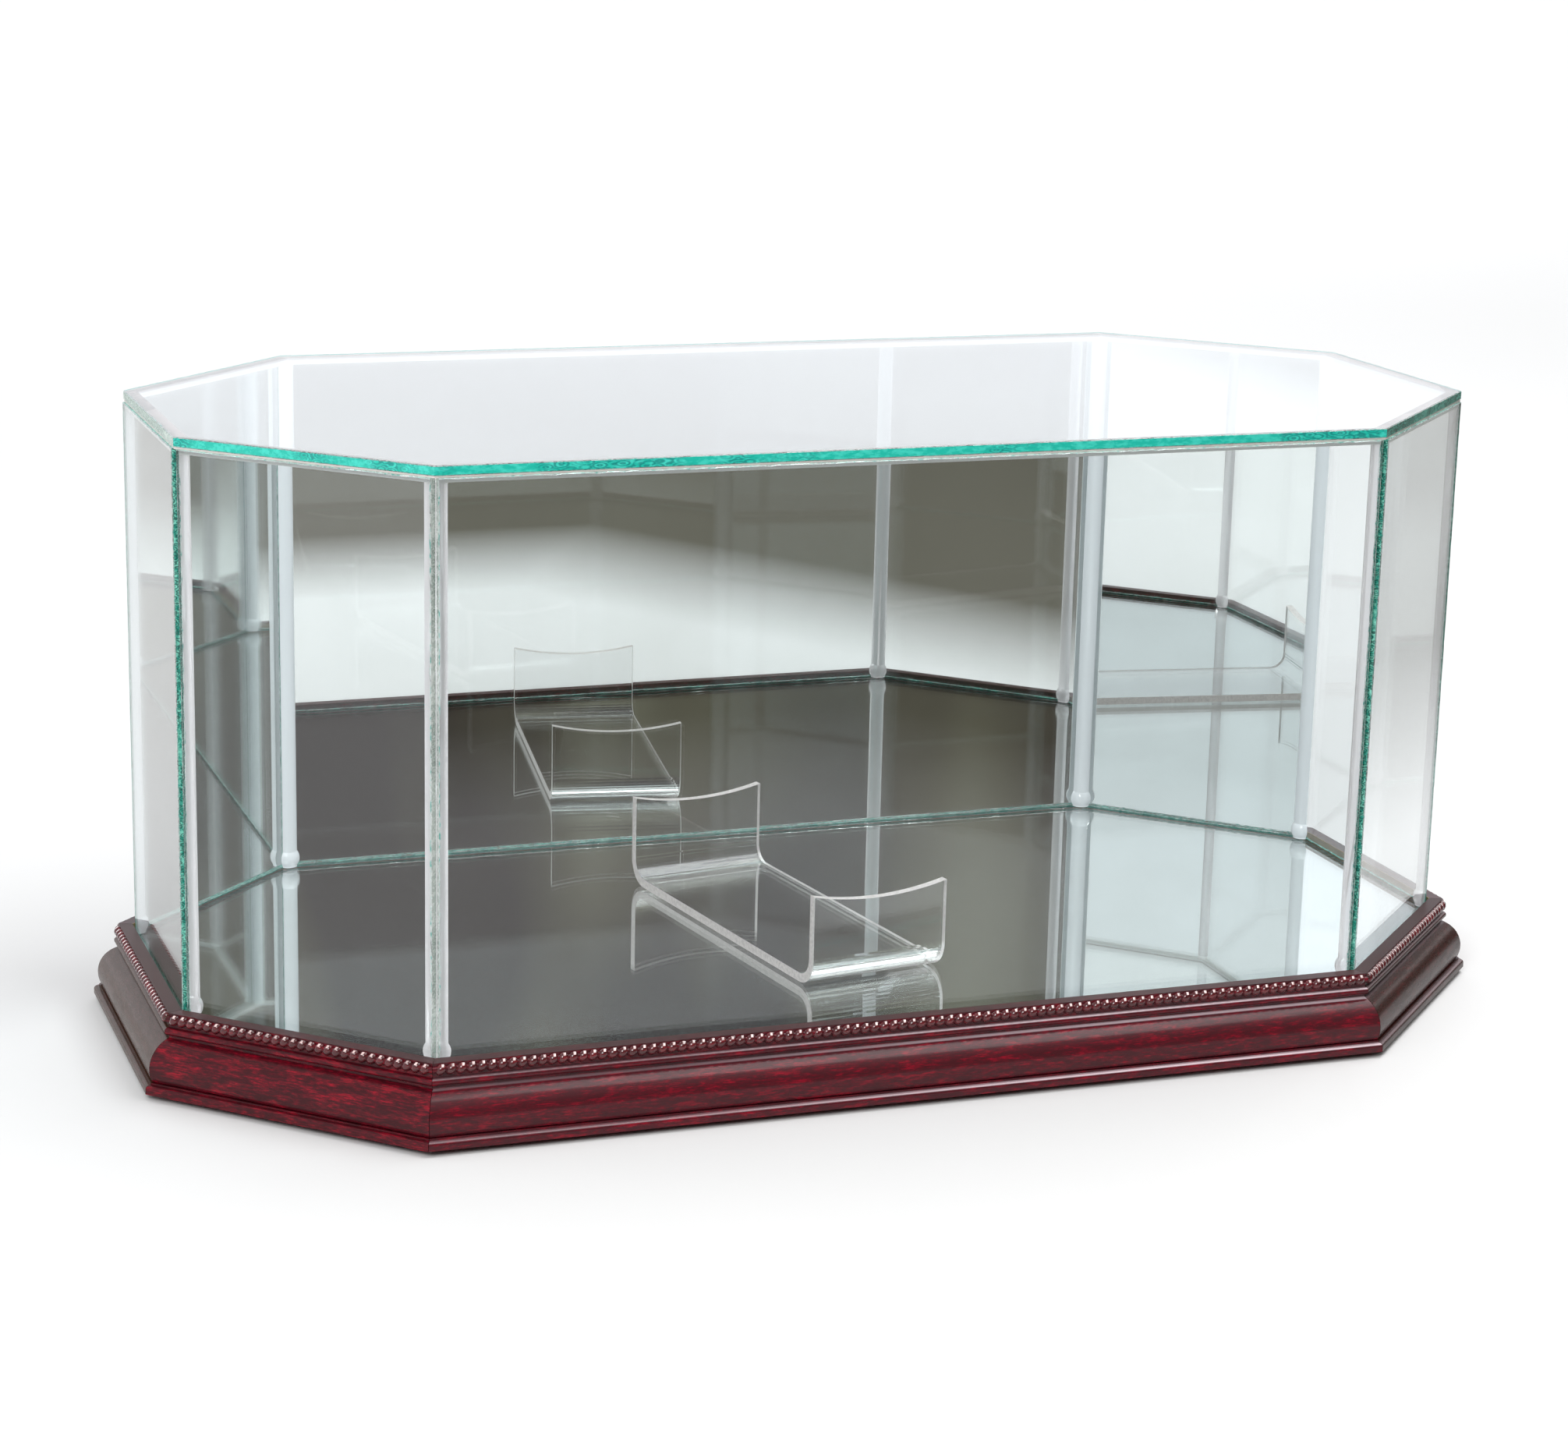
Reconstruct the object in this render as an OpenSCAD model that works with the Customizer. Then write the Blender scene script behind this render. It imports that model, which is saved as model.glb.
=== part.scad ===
// Octagonal glass display case on a moulded wooden base.
// Everything is in millimetres, +Z up. The origin is on the table, under the
// middle of the case. The long side lies along X and the clear front faces -Y.
// Three bodies: the wooden base with its floor mirror, the glass cover that
// lifts straight off it, and the bent acrylic cradle that stands loose inside.

/* [Case] */
// Length of the glass box over its outer faces
case_length = 432; // [380:1:520]
// Depth of the glass box over its outer faces
case_depth = 216; // [180:1:260]
// Height of the whole case above the table
case_height = 203.6; // [180:0.1:260]
// Thickness of the clear and the mirrored panes
glass_t = 3; // [2:0.5:5]
// How far the top plate stays inside the wall faces
top_inset = 0.5; // [0:0.1:1]
// Thickness of the adhesive line under the top plate
bond_t = 0.6; // [0.2:0.1:1]

/* [Adhesive seams] */
// Radius of the clear silicone bead in each inner corner
seam_r = 3.2; // [2:0.1:4]
// Radius of the blob where each bead ends at the floor
blob_r = 4.1; // [2.5:0.1:5]
// Width of the silicone fillet under the top plate, inside the walls
top_fillet_w = 1.8; // [1:0.1:3]
// Depth of that fillet below the plate
top_fillet_h = 2.2; // [1.5:0.1:3]

/* [Moulding] */
// Height of the moulding above its own underside
rail_h = 24.4; // [22:0.1:28]
// How far the moulding stands out past the glass at its foot
rail_out = 12.95; // [12:0.05:16]
// How far the lower part of the moulding reaches in under the board
rail_in = 8; // [4:0.5:14]
// Play between the glass and the lip of the moulding
lip_play = 0.5; // [0.4:0.1:1]
// Gap left at each mitre, for the dark joint line
mitre_gap = 0.16; // [0.1:0.02:0.3]

/* [Base] */
// Thickness of the base board
board_t = 6; // [3:0.5:9]
// Thickness of the floor mirror
mirror_t = 3; // [2:0.5:5]
// How far the lip of the moulding stands above the mirror
lip_above_mirror = 2.5; // [1.5:0.1:5]
// Height of the rubber feet
foot_h = 2; // [1:0.5:4]
// Diameter of the rubber feet
foot_d = 10; // [8:0.5:14]
// Distance of the feet from the middle of the case along X
foot_x = 138; // [100:1:145]

/* [Cradle] */
// Width of the bent acrylic cradle
cradle_w = 48.5; // [40:0.5:60]
// Depth of the cradle over its two upright tabs
cradle_d = 130; // [90:1:135]
// Height of the tabs
cradle_h = 30.5; // [20:0.5:40]
// Thickness of the acrylic sheet
cradle_t = 3; // [2:0.5:4]
// Outer radius of the two bends
cradle_bend = 9; // [6:0.5:12]
// How far the top edge of each tab dips in the middle
cradle_dip = 2.8; // [1:0.1:4]
// How far the cradle is turned about the vertical
cradle_turn = 9; // [-15:1:15]
// Middle of the cradle along X
cradle_x = -7.2; // [-40:0.1:40]
// Middle of the cradle along Y
cradle_y = -3.8; // [-10:0.1:10]

/* [Hidden] */
$fn = 64;

half_l = case_length / 2;
half_d = case_depth / 2;
// A regular octagon as deep as the case, pulled apart along X, gives the plan.
leg = case_depth / (2 + sqrt(2));
mitre_t = tan(22.5);
body_gap = 0.3;

// Profile of the moulding: outs are from the outer glass face, heights from the underside.
ledge_out = 4.9;
rod_r = 1;
rod_out = 5.05;
rod_h = rail_h - 2;
torus_r = 1.2;
torus_out = 5.15;
torus_h = rail_h - 5.8;
ovolo_r = rail_out - 3.47;
ovolo_out = 2.13;
ovolo_h = 7.4;
ovolo_low = 3.7;
ovolo_high = 16.4;
fillet_step = 1.65;
fillet_h = 3.3;
foot_edge_r = 1.2;
foot_edge_h = 1.5;
mitre_reach = 30;

// Board, glue blocks and feet
board_play = 0.2;
block_h = 9;
block_r = 16;
foot_taper = 1.2;

// Play between neighbouring panes, inset of the adhesive line, and the place of the blobs
pane_play = 0.1;
bond_inset = 0.2;
blob_rise = 3;
blob_clip = 12;

z_wood = foot_h;
z_lip = z_wood + rail_h;
z_mirror = z_lip - lip_above_mirror;
z_board = z_mirror - mirror_t;
z_rabbet = z_board - board_t;
z_wall = z_mirror + body_gap;
z_plate = case_height - glass_t;
z_wall_top = z_plate - bond_t;
z_seam_top = z_plate - top_fillet_h;

// Plan corners, o outside the outer glass faces, from front left anticlockwise.
function plan(o) =
    let (a = half_l + o, b = half_d + o, fx = half_l - leg + o * mitre_t, sy = half_d - leg + o * mitre_t)
    [[-fx, -b], [fx, -b], [a, -sy], [a, sy], [fx, b], [-fx, b], [-a, sy], [-a, -sy]];
function corner(k, o) = plan(o)[k % 8];
function side_len(k, o) = norm(corner(k + 1, o) - corner(k, o));
function side_mid(k) = (corner(k + 1, 0) + corner(k, 0)) / 2;

// Puts its children on side k: X runs along the side, -Y points outwards.
module on_side(k) {
    m = side_mid(k);
    translate([m[0], m[1], 0]) rotate([0, 0, 45 * k]) children();
}

// ---------------------------------------------------------------- moulding
// Section of the moulding: -X is outwards from the glass, Y is height.
module rail_section() {
    // lower block that reaches in under the board
    translate([-ledge_out, 0]) square([ledge_out + rail_in, z_rabbet - z_wood]);
    // lip, up to the flat ledge
    translate([-ledge_out, 0]) square([ledge_out - lip_play, rail_h]);
    // rod that carries the row of beads
    translate([-rod_out, rod_h]) circle(r = rod_r);
    // small torus below it
    translate([-torus_out, torus_h]) circle(r = torus_r);
    // large ovolo, cut off above by the upper recess and below by the valley
    intersection() {
        translate([-ovolo_out, ovolo_h]) circle(r = ovolo_r, $fn = 96);
        translate([-rail_out, ovolo_low]) square([rail_out - lip_play, ovolo_high - ovolo_low]);
    }
    // fine fillet under the ovolo
    translate([-rail_out + fillet_step, 0]) square([rail_out - fillet_step - lip_play, fillet_h]);
    // foot with a rounded upper edge
    translate([-rail_out, 0]) square([rail_out - lip_play, foot_edge_h]);
    translate([-rail_out + foot_edge_r, 0])
        square([rail_out - foot_edge_r - lip_play, foot_edge_h + foot_edge_r]);
    translate([-rail_out + foot_edge_r, foot_edge_h]) circle(r = foot_edge_r);
}

module rail(k) {
    h = side_len(k, 0) / 2 - mitre_gap / 2;
    slant = mitre_reach * mitre_t;
    color("#5c1520")
        on_side(k)
            intersection() {
                translate([-h - mitre_reach, 0, z_wood])
                    rotate([90, 0, 90])
                        linear_extrude(2 * (h + mitre_reach)) rail_section();
                translate([0, 0, z_wood - 1])
                    linear_extrude(rail_h + 2)
                        polygon([[-h - slant, -mitre_reach], [h + slant, -mitre_reach],
                                 [h - slant, mitre_reach], [-h + slant, mitre_reach]]);
            }
}

module rail_front() { rail(0); }
module rail_front_right() { rail(1); }
module rail_right() { rail(2); }
module rail_back_right() { rail(3); }
module rail_back() { rail(4); }
module rail_back_left() { rail(5); }
module rail_left() { rail(6); }
module rail_front_left() { rail(7); }

// ---------------------------------------------------------------- base
module plate(o, z, t) {
    translate([0, 0, z]) linear_extrude(t) polygon(plan(o));
}

module base_board() { color("#a98a5c") plate(lip_play - board_play, z_rabbet, board_t); }
module floor_mirror() { color("#b9cfcb") plate(0, z_board, mirror_t); }

// Glue blocks behind the eight mitres, under the board
module corner_blocks() {
    color("#b7935f")
    for (k = [0:7])
        translate([0, 0, z_rabbet - block_h])
            linear_extrude(block_h)
                intersection() {
                    polygon(plan(-rail_in));
                    translate(corner(k, -rail_in)) circle(r = block_r);
                }
}

module foot(sx, sy) {
    color("#1b1b1c")
    translate([sx * foot_x, sy * (half_d + (rail_out - rail_in) / 2), 0]) {
        cylinder(h = foot_h / 2, d1 = foot_d - foot_taper, d2 = foot_d);
        translate([0, 0, foot_h / 2]) cylinder(h = foot_h / 2, d = foot_d);
    }
}
module foot_front_left() { foot(-1, -1); }
module foot_front_right() { foot(1, -1); }
module foot_back_left() { foot(-1, 1); }
module foot_back_right() { foot(1, 1); }

// ---------------------------------------------------------------- cover
// Square-cut pane. Neighbours meet at their inner edges, so that a 45 degree
// notch stays open outside each corner.
module pane(k) {
    w = side_len(k, -glass_t) - pane_play;
    on_side(k) translate([-w / 2, 0, z_wall]) cube([w, glass_t, z_wall_top - z_wall]);
}

module glass_top() { color("#bfe9df") plate(-top_inset, z_plate, glass_t); }
module glass_front() { color("#cfe8e4") pane(0); }
module glass_front_right() { color("#cfe8e4") pane(1); }
module glass_right() { color("#cfe8e4") pane(2); }
module glass_left() { color("#cfe8e4") pane(6); }
module glass_front_left() { color("#cfe8e4") pane(7); }
module mirror_back_right() { color("#9fb0b0") pane(3); }
module mirror_back() { color("#9fb0b0") pane(4); }
module mirror_back_left() { color("#9fb0b0") pane(5); }

// Adhesive line on top of the walls, with a fillet inside them
module top_bond() {
    color("#dfe3df") {
        translate([0, 0, z_wall_top])
            linear_extrude(bond_t)
                difference() {
                    polygon(plan(-top_inset - bond_inset));
                    polygon(plan(-glass_t));
                }
        translate([0, 0, z_seam_top])
            linear_extrude(top_fillet_h)
                difference() {
                    polygon(plan(-glass_t));
                    polygon(plan(-glass_t - top_fillet_w));
                }
    }
}

// Silicone bead in the inner corner k, ending in a blob near the floor
module seam(k) {
    color("#dfe9e8")
    union() {
        translate([0, 0, z_wall])
            linear_extrude(z_seam_top - z_wall)
                intersection() {
                    polygon(plan(-glass_t));
                    translate(corner(k, -glass_t)) circle(r = seam_r);
                }
        intersection() {
            plate(-glass_t, z_wall, blob_clip);
            translate(corner(k, -glass_t)) translate([0, 0, z_wall + blob_rise]) sphere(r = blob_r);
        }
    }
}
module seam_front_left() { seam(0); }
module seam_front_right() { seam(1); }
module seam_right_front() { seam(2); }
module seam_right_back() { seam(3); }
module seam_back_right() { seam(4); }
module seam_back_left() { seam(5); }
module seam_left_back() { seam(6); }
module seam_left_front() { seam(7); }

// ---------------------------------------------------------------- cradle
// Outline of a U with rounded lower corners: X is depth, Y is height.
module u_outline(d, h, r) {
    translate([r, 0]) square([d - 2 * r, h]);
    translate([0, r]) square([d, h - r]);
    translate([r, r]) circle(r = r);
    translate([d - r, r]) circle(r = r);
}

module cradle() {
    r_dip = (pow(cradle_w / 2, 2) + pow(cradle_dip, 2)) / (2 * cradle_dip);
    color("#e6eeee")
    translate([cradle_x, cradle_y, z_mirror + body_gap])
        rotate([0, 0, cradle_turn])
            translate([-cradle_w / 2, -cradle_d / 2, 0])
                difference() {
                    rotate([90, 0, 90])
                        linear_extrude(cradle_w)
                            difference() {
                                u_outline(cradle_d, cradle_h, cradle_bend);
                                translate([cradle_t, cradle_t])
                                    u_outline(cradle_d - 2 * cradle_t, cradle_h, cradle_bend - cradle_t);
                            }
                    translate([cradle_w / 2, -1, cradle_h - cradle_dip + r_dip])
                        rotate([-90, 0, 0]) cylinder(h = cradle_d + 2, r = r_dip, $fn = 180);
                }
}

rail_front();
rail_front_right();
rail_right();
rail_back_right();
rail_back();
rail_back_left();
rail_left();
rail_front_left();
base_board();
floor_mirror();
corner_blocks();
foot_front_left();
foot_front_right();
foot_back_left();
foot_back_right();
glass_top();
glass_front();
glass_front_right();
glass_right();
mirror_back_right();
mirror_back();
mirror_back_left();
glass_left();
glass_front_left();
top_bond();
seam_front_left();
seam_front_right();
seam_right_front();
seam_right_back();
seam_back_right();
seam_back_left();
seam_left_back();
seam_left_front();
cradle();
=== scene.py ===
"""Looks of the octagonal glass display case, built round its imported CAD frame.

The case has three bodies: a moulded wooden base with a floor mirror, a glued glass cover
that lifts off it, and a bent acrylic cradle that stands loose inside. Lengths are metres.
"""

import logging
import math
import random
from dataclasses import dataclass, field
from enum import Enum
from typing import Any

import bmesh
import bpy
from mathutils import Matrix, Vector


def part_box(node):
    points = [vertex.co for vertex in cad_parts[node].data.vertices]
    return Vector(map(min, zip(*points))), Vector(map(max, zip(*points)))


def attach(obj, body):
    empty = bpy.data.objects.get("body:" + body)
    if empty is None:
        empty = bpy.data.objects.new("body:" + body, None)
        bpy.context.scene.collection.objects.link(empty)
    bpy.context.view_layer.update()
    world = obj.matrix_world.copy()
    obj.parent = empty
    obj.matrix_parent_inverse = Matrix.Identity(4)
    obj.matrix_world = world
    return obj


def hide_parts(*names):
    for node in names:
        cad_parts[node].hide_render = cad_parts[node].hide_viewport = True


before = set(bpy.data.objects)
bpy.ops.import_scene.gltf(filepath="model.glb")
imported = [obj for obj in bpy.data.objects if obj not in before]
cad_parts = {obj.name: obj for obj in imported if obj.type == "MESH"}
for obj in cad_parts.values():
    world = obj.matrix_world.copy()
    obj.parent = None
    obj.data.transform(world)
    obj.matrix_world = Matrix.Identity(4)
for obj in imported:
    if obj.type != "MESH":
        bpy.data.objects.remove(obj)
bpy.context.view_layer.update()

Triple = tuple[float, float, float]
Range = tuple[float, float]
Socket = bpy.types.NodeSocket
Look = bpy.types.Material
Shape = bmesh.types.BMesh
Edges = list[bmesh.types.BMEdge]

MM = 0.001
FACES = 0.9
QUARTER = math.pi / 2
FACE, CUT, ARRIS, FOOT, BACK = range(5)
PAINT_THICK = 0.12 * MM
PAINT_GAP = 0.01 * MM
PAINT_INSET = 0.3 * MM
LOG = logging.getLogger("display_case")


class Body(Enum):
    """The rigid bodies of the case, by the names that the frame gives them."""

    BASE = "base"
    COVER = "cover"
    CRADLE = "cradle"


class Side(Enum):
    """The eight sides of the plan, anticlockwise from the front."""

    FRONT = 0
    FRONT_RIGHT = 1
    RIGHT = 2
    BACK_RIGHT = 3
    BACK = 4
    BACK_LEFT = 5
    LEFT = 6
    FRONT_LEFT = 7

    @property
    def label(self) -> str:
        """The side's name as the CAD nodes spell it."""
        return self.name.lower()

    @property
    def turn(self) -> float:
        """How far the side is turned about the vertical from the front, in radians."""
        return math.radians(45 * self.value)

    @property
    def is_mirror(self) -> bool:
        """True for the three silvered walls at the back."""
        return self in (Side.BACK_RIGHT, Side.BACK, Side.BACK_LEFT)

    @property
    def wall_node(self) -> str:
        """The CAD node of this side's wall."""
        return f"{'mirror' if self.is_mirror else 'glass'}_{self.label}"


@dataclass(frozen=True)
class Plan:
    """Plan and levels of the case, measured on the frame's own nodes."""

    half_length: float
    half_depth: float
    glass: float
    wall_low: float
    wall_high: float
    plate_low: float
    plate_high: float
    plate_inset: float
    mirror_low: float
    mirror_high: float
    lip: float

    @classmethod
    def from_frame(cls) -> "Plan":
        """Reads the plan from the boxes of the CAD nodes.

        Returns:
            The plan with every length in metres.
        """
        front_low, front_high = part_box("glass_front")
        _, right_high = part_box("glass_right")
        plate_low, plate_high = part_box("glass_top")
        mirror_low, mirror_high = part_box("floor_mirror")
        _, rail_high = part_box("rail_front")
        return cls(
            half_length=right_high.x,
            half_depth=-front_low.y,
            glass=front_high.y - front_low.y,
            wall_low=front_low.z,
            wall_high=front_high.z,
            plate_low=plate_low.z,
            plate_high=plate_high.z,
            plate_inset=right_high.x - plate_high.x,
            mirror_low=mirror_low.z,
            mirror_high=mirror_high.z,
            lip=rail_high.z,
        )

    def outline(self, out: float) -> list[Vector]:
        """The plan's corners, from front left anticlockwise.

        Args:
            out: How far outside the outer glass faces the outline runs.

        Returns:
            Eight points at height zero.
        """
        slant = math.tan(math.radians(22.5))
        leg = 2 * self.half_depth / (2 + math.sqrt(2))
        far_x, far_y = self.half_length + out, self.half_depth + out
        near_x = self.half_length - leg + out * slant
        near_y = self.half_depth - leg + out * slant
        front = [(-near_x, -far_y), (near_x, -far_y), (far_x, -near_y), (far_x, near_y)]
        back = [(near_x, far_y), (-near_x, far_y), (-far_x, near_y), (-far_x, -near_y)]
        return [Vector((*corner, 0)) for corner in front + back]

    def side_length(self, side: Side, out: float = 0.0) -> float:
        """Length of a side of the outline that runs out outside the glass."""
        corners = self.outline(out)
        return (corners[(side.value + 1) % 8] - corners[side.value]).length

    def reach(self, side: Side) -> float:
        """Distance from the middle of the case to a side's outer glass face."""
        return abs(self.place(side).inverted().translation.y)

    def place(self, side: Side) -> Matrix:
        """Where a side lies: X runs along it, -Y points outwards, at the outer glass face.

        Args:
            side: The side.

        Returns:
            The turn and shift from a side at the origin.
        """
        corners = self.outline(0.0)
        middle = (corners[side.value] + corners[(side.value + 1) % 8]) / 2
        return Matrix.Translation(middle) @ Matrix.Rotation(side.turn, 4, "Z")


# ---- finishes
class Sheet:
    """A material's node tree, with short ways to add and join its nodes."""

    def __init__(self, name: str) -> None:
        """Starts an empty material.

        Args:
            name: The material's name.
        """
        self.material = bpy.data.materials.new(name)
        self.material.use_nodes = True
        self.tree = self.material.node_tree
        self.tree.nodes.clear()

    @classmethod
    def of_world(cls, world: bpy.types.World) -> "Sheet":
        """A sheet for a world's own node tree, emptied.

        Args:
            world: The world.

        Returns:
            The sheet.
        """
        sheet = cls.__new__(cls)
        sheet.tree = world.node_tree
        sheet.tree.nodes.clear()
        return sheet

    def add(self, kind: str, inputs: dict[Any, Any] | None = None, **settings: Any) -> bpy.types.Node:
        """Adds a node.

        Args:
            kind: The node's type without its ShaderNode prefix.
            inputs: Socket name or number to a value, or to the output that feeds it.
            **settings: The node's own properties.

        Returns:
            The new node.
        """
        node = self.tree.nodes.new("ShaderNode" + kind)
        for name, value in settings.items():
            setattr(node, name, value)
        for name, value in (inputs or {}).items():
            if isinstance(value, Socket):
                self.tree.links.new(value, node.inputs[name])
            else:
                node.inputs[name].default_value = value
        return node

    def place(self, turn: float = 0.0, scale: Triple = (1, 1, 1)) -> Socket:
        """The piece's own coordinates, turned about Z and then scaled.

        Args:
            turn: The angle that the piece lies at, which is taken off, in radians.
            scale: How many pattern units a metre holds along each axis.

        Returns:
            The vector output.
        """
        own = self.add("TexCoord").outputs["Object"]
        turned = self.add("Mapping", {"Vector": own, "Rotation": (0, 0, -turn)}).outputs[0]
        return self.add("Mapping", {"Vector": turned, "Scale": scale}).outputs[0]

    def noise(self, vector: Socket, detail: float = 3.0, roughness: float = 0.5) -> Socket:
        """A noise value over coordinates that already hold its scale."""
        inputs = {"Vector": vector, "Scale": 1.0, "Detail": detail, "Roughness": roughness}
        return self.add("TexNoise", inputs).outputs["Fac"]

    def ramp(self, value: Socket, stops: list[tuple[float, Triple]]) -> Socket:
        """Colours along a value.

        Args:
            value: The value that picks the colour.
            stops: Places from 0 to 1, each with its linear colour.

        Returns:
            The colour output.
        """
        node = self.add("ValToRGB", {"Fac": value})
        band = node.color_ramp
        while len(band.elements) < len(stops):
            band.elements.new(0.5)
        for element, (where, colour) in zip(band.elements, stops):
            element.position = where
            element.color = (*colour, 1.0)
        return node.outputs["Color"]

    def span(self, value: Socket, low: float, high: float, start: float = 0.0, end: float = 1.0) -> Socket:
        """A value's stretch from low to high, held to the range from start to end."""
        inputs = {"Value": value, "From Min": low, "From Max": high, "To Min": start, "To Max": end}
        return self.add("MapRange", inputs).outputs["Result"]

    def maths(self, operation: str, first: Any, second: Any = 0.0) -> Socket:
        """A Math node on two numbers or outputs."""
        return self.add("Math", {0: first, 1: second}, operation=operation).outputs[0]

    def mix(self, share: Any, first: Any, second: Any) -> Socket:
        """A mix of two colours.

        Args:
            share: The second colour's share, as a number or an output.
            first: The first colour, as a tuple or an output.
            second: The second colour.

        Returns:
            The mixed colour.
        """
        node = self.add("Mix", data_type="RGBA")
        sockets = {item.identifier: item for item in node.inputs}
        for name, value in (("Factor_Float", share), ("A_Color", first), ("B_Color", second)):
            if isinstance(value, Socket):
                self.tree.links.new(value, sockets[name])
            else:
                sockets[name].default_value = (*value, 1.0) if isinstance(value, tuple) else value
        return next(item for item in node.outputs if item.identifier == "Result_Color")

    def bump(self, height: Socket, strength: float, distance: float) -> Socket:
        """A bumped normal from a height value."""
        inputs = {"Height": height, "Strength": strength, "Distance": distance}
        return self.add("Bump", inputs).outputs["Normal"]

    def surface(self, **inputs: Any) -> bpy.types.Node:
        """A Principled shader, whose socket names are given with underscores for spaces.

        Args:
            **inputs: Socket name to a value or an output.

        Returns:
            The shader node.
        """
        named = {name.replace("_", " "): value for name, value in inputs.items()}
        for name in ("Base Color", "Emission Color"):
            if isinstance(named.get(name), tuple) and len(named[name]) == 3:
                named[name] = (*named[name], 1.0)
        return self.add("BsdfPrincipled", named)

    def finish(self, shader: bpy.types.Node) -> Look:
        """Joins a shader to the output; a glowing finish is not sampled as a lamp.

        Args:
            shader: The shader node.

        Returns:
            The material.
        """
        self.add("OutputMaterial", {"Surface": shader.outputs[0]})
        self.material.cycles.emission_sampling = "NONE"
        return self.material

    def finish_clear(self, shader: bpy.types.Node, shade: Triple) -> Look:
        """Finishes a see-through material, which lamps shine through straight.

        Args:
            shader: The glass shader.
            shade: The share of lamp light that each face lets through, by colour.

        Returns:
            The material.
        """
        open_way = self.add("BsdfTransparent", {"Color": (*shade, 1.0)})
        is_shadow = self.add("LightPath").outputs["Is Shadow Ray"]
        mixed = self.add("MixShader", {0: is_shadow, 1: shader.outputs[0], 2: open_way.outputs[0]})
        return self.finish(mixed)


@dataclass(frozen=True)
class CherryLacquer:
    """Dark-stained cherry under a satin lacquer, with its grain along one moulding."""

    name: str
    turn: float
    raw_from: float | None = None
    ledge_from: float = 1.0
    gloss: float = 0.27
    coat: float = 0.22
    sheen: float = 0.13
    dark: Triple = (0.044, 0.004, 0.007)
    deep: Triple = (0.112, 0.004, 0.011)
    red: Triple = (0.29, 0.004, 0.016)
    raw: Triple = (0.52, 0.36, 0.17)
    dust: Triple = (0.062, 0.036, 0.037)
    # Pale lines painted along the small rounds as highlights: their strength, colour, heights, half width and
    # the stretch along X where they grow.
    painted_line_strength: float = 0.0
    painted_line_colour: Triple = (0.58, 0.46, 0.50)
    painted_line_heights: tuple[float, ...] = (4.5 * MM, 18.3 * MM, 21.55 * MM)
    painted_line_half: float = 0.34 * MM
    painted_line_from: Range = (-0.09, 0.07)
    patch_scale: Triple = (125, 560, 560)
    fleck_scale: Triple = (380, 1800, 1800)
    pore_scale: Triple = (160, 4200, 4200)
    gloss_swing: float = 0.04
    ledge_cover: float = 0.8
    ledge_rough: float = 0.5
    ledge_fade: float = 0.3 * MM
    raw_rough: float = 0.75
    raw_fade: float = 0.05 * MM
    coat_rough: float = 0.13

    def material(self) -> Look:
        """Builds the material.

        Returns:
            The stained wood: dull on the ledge, raw where raw_from says that the saw left it, and with pale
                highlight lines painted on the small rounds where the fields ask for them.
        """
        sheet = Sheet(self.name)
        patch = sheet.noise(sheet.place(self.turn, self.patch_scale), 3.0, 0.6)
        fleck = sheet.noise(sheet.place(self.turn, self.fleck_scale), 3.0, 0.65)
        pore = sheet.noise(sheet.place(self.turn, self.pore_scale), 2.0, 0.5)
        both = sheet.maths("ADD", sheet.maths("MULTIPLY", patch, 0.5), sheet.maths("MULTIPLY", fleck, 0.5))
        tone = sheet.ramp(both, [(0.44, self.dark), (0.53, self.deep), (0.62, self.red)])
        stained = sheet.mix(sheet.span(pore, 0.62, 0.36, 0.0, 0.5), tone, self.dark)
        rough = sheet.span(patch, 0.3, 0.7, self.gloss + self.gloss_swing, self.gloss - self.gloss_swing)
        own = sheet.add("SeparateXYZ", {0: sheet.place(self.turn)})
        ledge = sheet.span(own.outputs["Z"], self.ledge_from - self.ledge_fade, self.ledge_from)
        stained = sheet.mix(sheet.maths("MULTIPLY", ledge, self.ledge_cover), stained, self.dust)
        rough = sheet.maths("MAXIMUM", rough, sheet.maths("MULTIPLY", ledge, self.ledge_rough))
        # Painted highlight lines on the small rounds.
        if self.painted_line_strength:
            stained = sheet.mix(self.rub(sheet, own), stained, self.painted_line_colour)
        if self.raw_from is not None:
            inner = sheet.span(own.outputs["Y"], self.raw_from - self.raw_fade, self.raw_from + self.raw_fade)
            pale = sheet.mix(sheet.span(pore, 0.35, 0.65), self.raw, tuple(0.7 * c for c in self.raw))
            stained = sheet.mix(inner, stained, pale)
            rough = sheet.maths("MAXIMUM", rough, sheet.maths("MULTIPLY", inner, self.raw_rough))
        relief = sheet.bump(pore, 0.10, 0.05 * MM)
        shader = sheet.surface(
            Base_Color=stained, Roughness=rough, Normal=relief, Specular_IOR_Level=self.sheen,
            Coat_Weight=self.coat, Coat_Roughness=self.coat_rough,
        )
        return sheet.finish(shader)

    def rub(self, sheet: Sheet, own: bpy.types.Node) -> Socket:
        """Painted highlight lines along the small rounds, pale as if lit, stronger towards one end.

        Args:
            sheet: The material's node tree.
            own: The node that parts the piece's own coordinates.

        Returns:
            The share of the painted highlight colour.
        """
        along = sheet.span(own.outputs["X"], *self.painted_line_from, 0.25 * self.painted_line_strength, self.painted_line_strength)
        lit_lines = None
        for height in self.painted_line_heights:
            away = sheet.maths("ABSOLUTE", sheet.maths("SUBTRACT", own.outputs["Z"], height))
            line = sheet.span(away, self.painted_line_half, 0.3 * self.painted_line_half)
            lit_lines = line if lit_lines is None else sheet.maths("MAXIMUM", lit_lines, line)
        return sheet.maths("MULTIPLY", lit_lines, along)


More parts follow.
